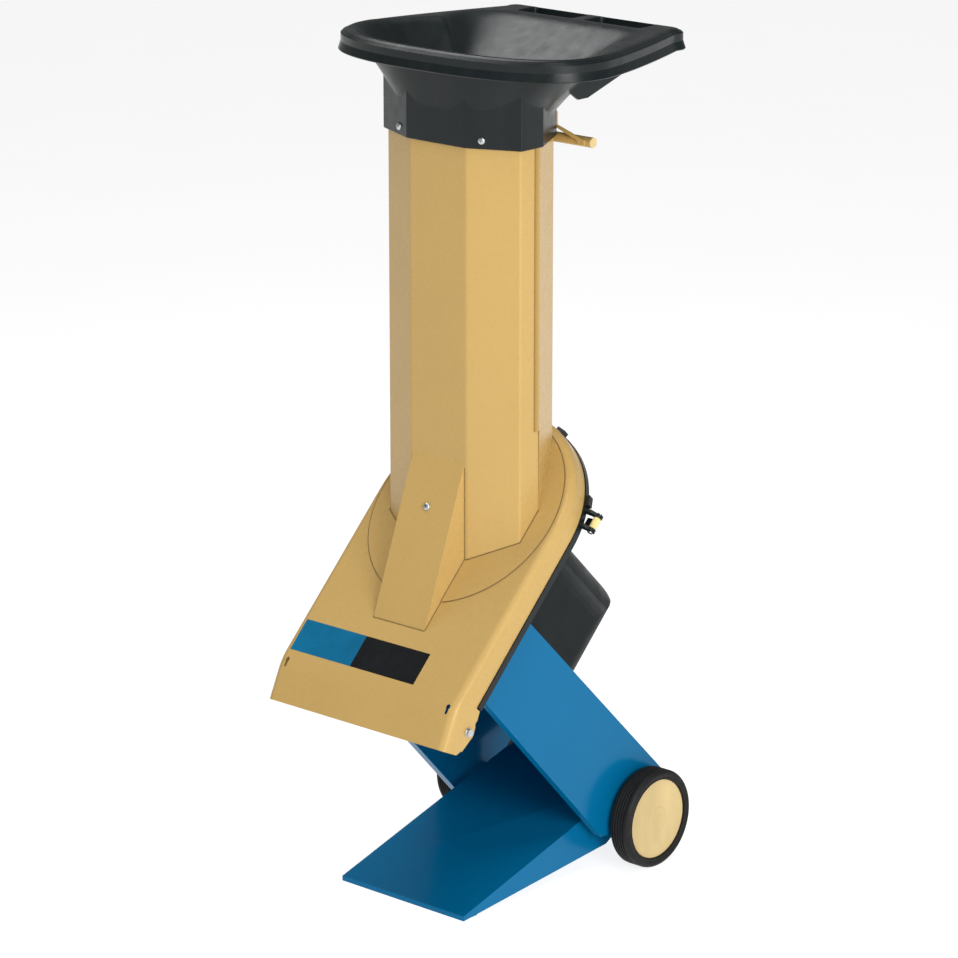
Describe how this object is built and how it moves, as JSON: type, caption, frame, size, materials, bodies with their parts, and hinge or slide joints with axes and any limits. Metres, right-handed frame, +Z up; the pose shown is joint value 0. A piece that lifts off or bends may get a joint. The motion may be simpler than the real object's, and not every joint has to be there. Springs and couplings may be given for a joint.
{
  "type": "garden shredder",
  "caption": "Electric garden shredder with a tall faceted feed tower and wide hopper over a sloping cutter disc, on a folded-sheet stand with a ramp foot and wheels.",
  "frame": {"origin": "on the floor, under the middle of the whole machine's bounding box", "axes": "+Z up, +Y to the rear, where the wheels and motor are, +X to the machine's right"},
  "size_m": [0.5, 0.5734, 1.336],
  "materials": {
    "tan_paint": "satin sand-coloured enamel on sheet steel",
    "blue_paint": "satin blue enamel on sheet steel",
    "black_plastic": "fine-grained black moulding",
    "cream_plastic": "smooth sand-coloured moulding",
    "yellow_plastic": "smooth pale yellow moulding",
    "zinc": "bright zinc plate",
    "steel": "ground steel",
    "aluminium": "cast and drawn aluminium",
    "windings": "varnished copper and iron laminations",
    "iron": "dark laminated iron",
    "contact_brass": "plain brass pins",
    "tyre_rubber": "matt black rubber",
    "green_plastic": "smooth green moulding",
    "red_plastic": "smooth red moulding"
  },
  "bodies": {
    "base": {"foot_ramp": "blue_paint", "chute_panel_left": "blue_paint", "chute_panel_right": "blue_paint", "chute_back": "blue_paint", "stand_bolts": "zinc", "axle": "steel", "axle_spacers": "black_plastic", "axle_clips": "zinc", "rear_housing": "black_plastic", "hinge_bolts": "zinc", "hinge_nuts": "zinc", "latch_pins": "zinc", "motor_flange": "aluminium", "motor_case": "aluminium", "stator": "windings", "front_bearing": "steel", "rear_bearing": "steel", "rear_shield": "aluminium", "capacitor": "aluminium", "motor_hood": "black_plastic", "hood_screws": "zinc", "switch_box": "black_plastic", "power_inlet": "black_plastic", "inlet_pins": "contact_brass"},
    "cover": {"disc_cover": "tan_paint", "tower_flange": "tan_paint", "tower_front": "tan_paint", "tower_back": "tan_paint", "gusset": "tan_paint", "gusset_screw": "zinc", "hopper": "black_plastic", "hopper_screws": "zinc", "handle_bar": "tan_paint", "handle_straps": "tan_paint", "handle_screws": "zinc", "handle_caps": "cream_plastic", "counter_knife": "steel"},
    "cutter": {"cutter_disc": "steel", "knives": "steel", "knife_screws": "zinc", "ejector_vanes": "steel", "disc_washer": "zinc", "disc_bolt": "zinc", "motor_shaft": "steel", "rotor": "iron", "cooling_fan": "black_plastic"},
    "wheel_left": {"tyre_left": "tyre_rubber", "hub_left": "black_plastic", "hub_cap_left": "cream_plastic"},
    "wheel_right": {"tyre_right": "tyre_rubber", "hub_right": "black_plastic", "hub_cap_right": "cream_plastic"},
    "latch_left": {"latch_left": "yellow_plastic"},
    "latch_right": {"latch_right": "yellow_plastic"},
    "start_button": {"start_button": "green_plastic"},
    "stop_button": {"stop_button": "red_plastic"}
  },
  "joints": [
    {"name": "cover_hinge", "type": "hinge", "parent": "base", "child": "cover", "pos_m": [0, -0.23186, 0.33576], "axis": [1, 0, 0], "range_deg": [0, 60]},
    {"name": "cutter_spin", "type": "hinge", "parent": "base", "child": "cutter", "pos_m": [0, -0.00488, 0.58254], "axis": [0, -0.7071, 0.7071], "continuous": true},
    {"name": "wheel_left_spin", "type": "hinge", "parent": "base", "child": "wheel_left", "pos_m": [-0.1865, 0.20067, 0.08], "axis": [1, 0, 0], "continuous": true},
    {"name": "wheel_right_spin", "type": "hinge", "parent": "base", "child": "wheel_right", "pos_m": [0.1865, 0.20067, 0.08], "axis": [1, 0, 0], "continuous": true},
    {"name": "latch_left_turn", "type": "hinge", "parent": "base", "child": "latch_left", "pos_m": [-0.198, 0.04462, 0.60376], "axis": [0, 0.7071, 0.7071], "range_deg": [0, 90]},
    {"name": "latch_right_turn", "type": "hinge", "parent": "base", "child": "latch_right", "pos_m": [0.198, 0.04462, 0.60376], "axis": [0, -0.7071, -0.7071], "range_deg": [0, 90]},
    {"name": "start_press", "type": "slide", "parent": "base", "child": "start_button", "axis": [1, 0, 0], "range_m": [0, 0.003], "stiffness_N_per_m": 400},
    {"name": "stop_press", "type": "slide", "parent": "base", "child": "stop_button", "axis": [1, 0, 0], "range_m": [0, 0.003], "stiffness_N_per_m": 400}
  ]
}
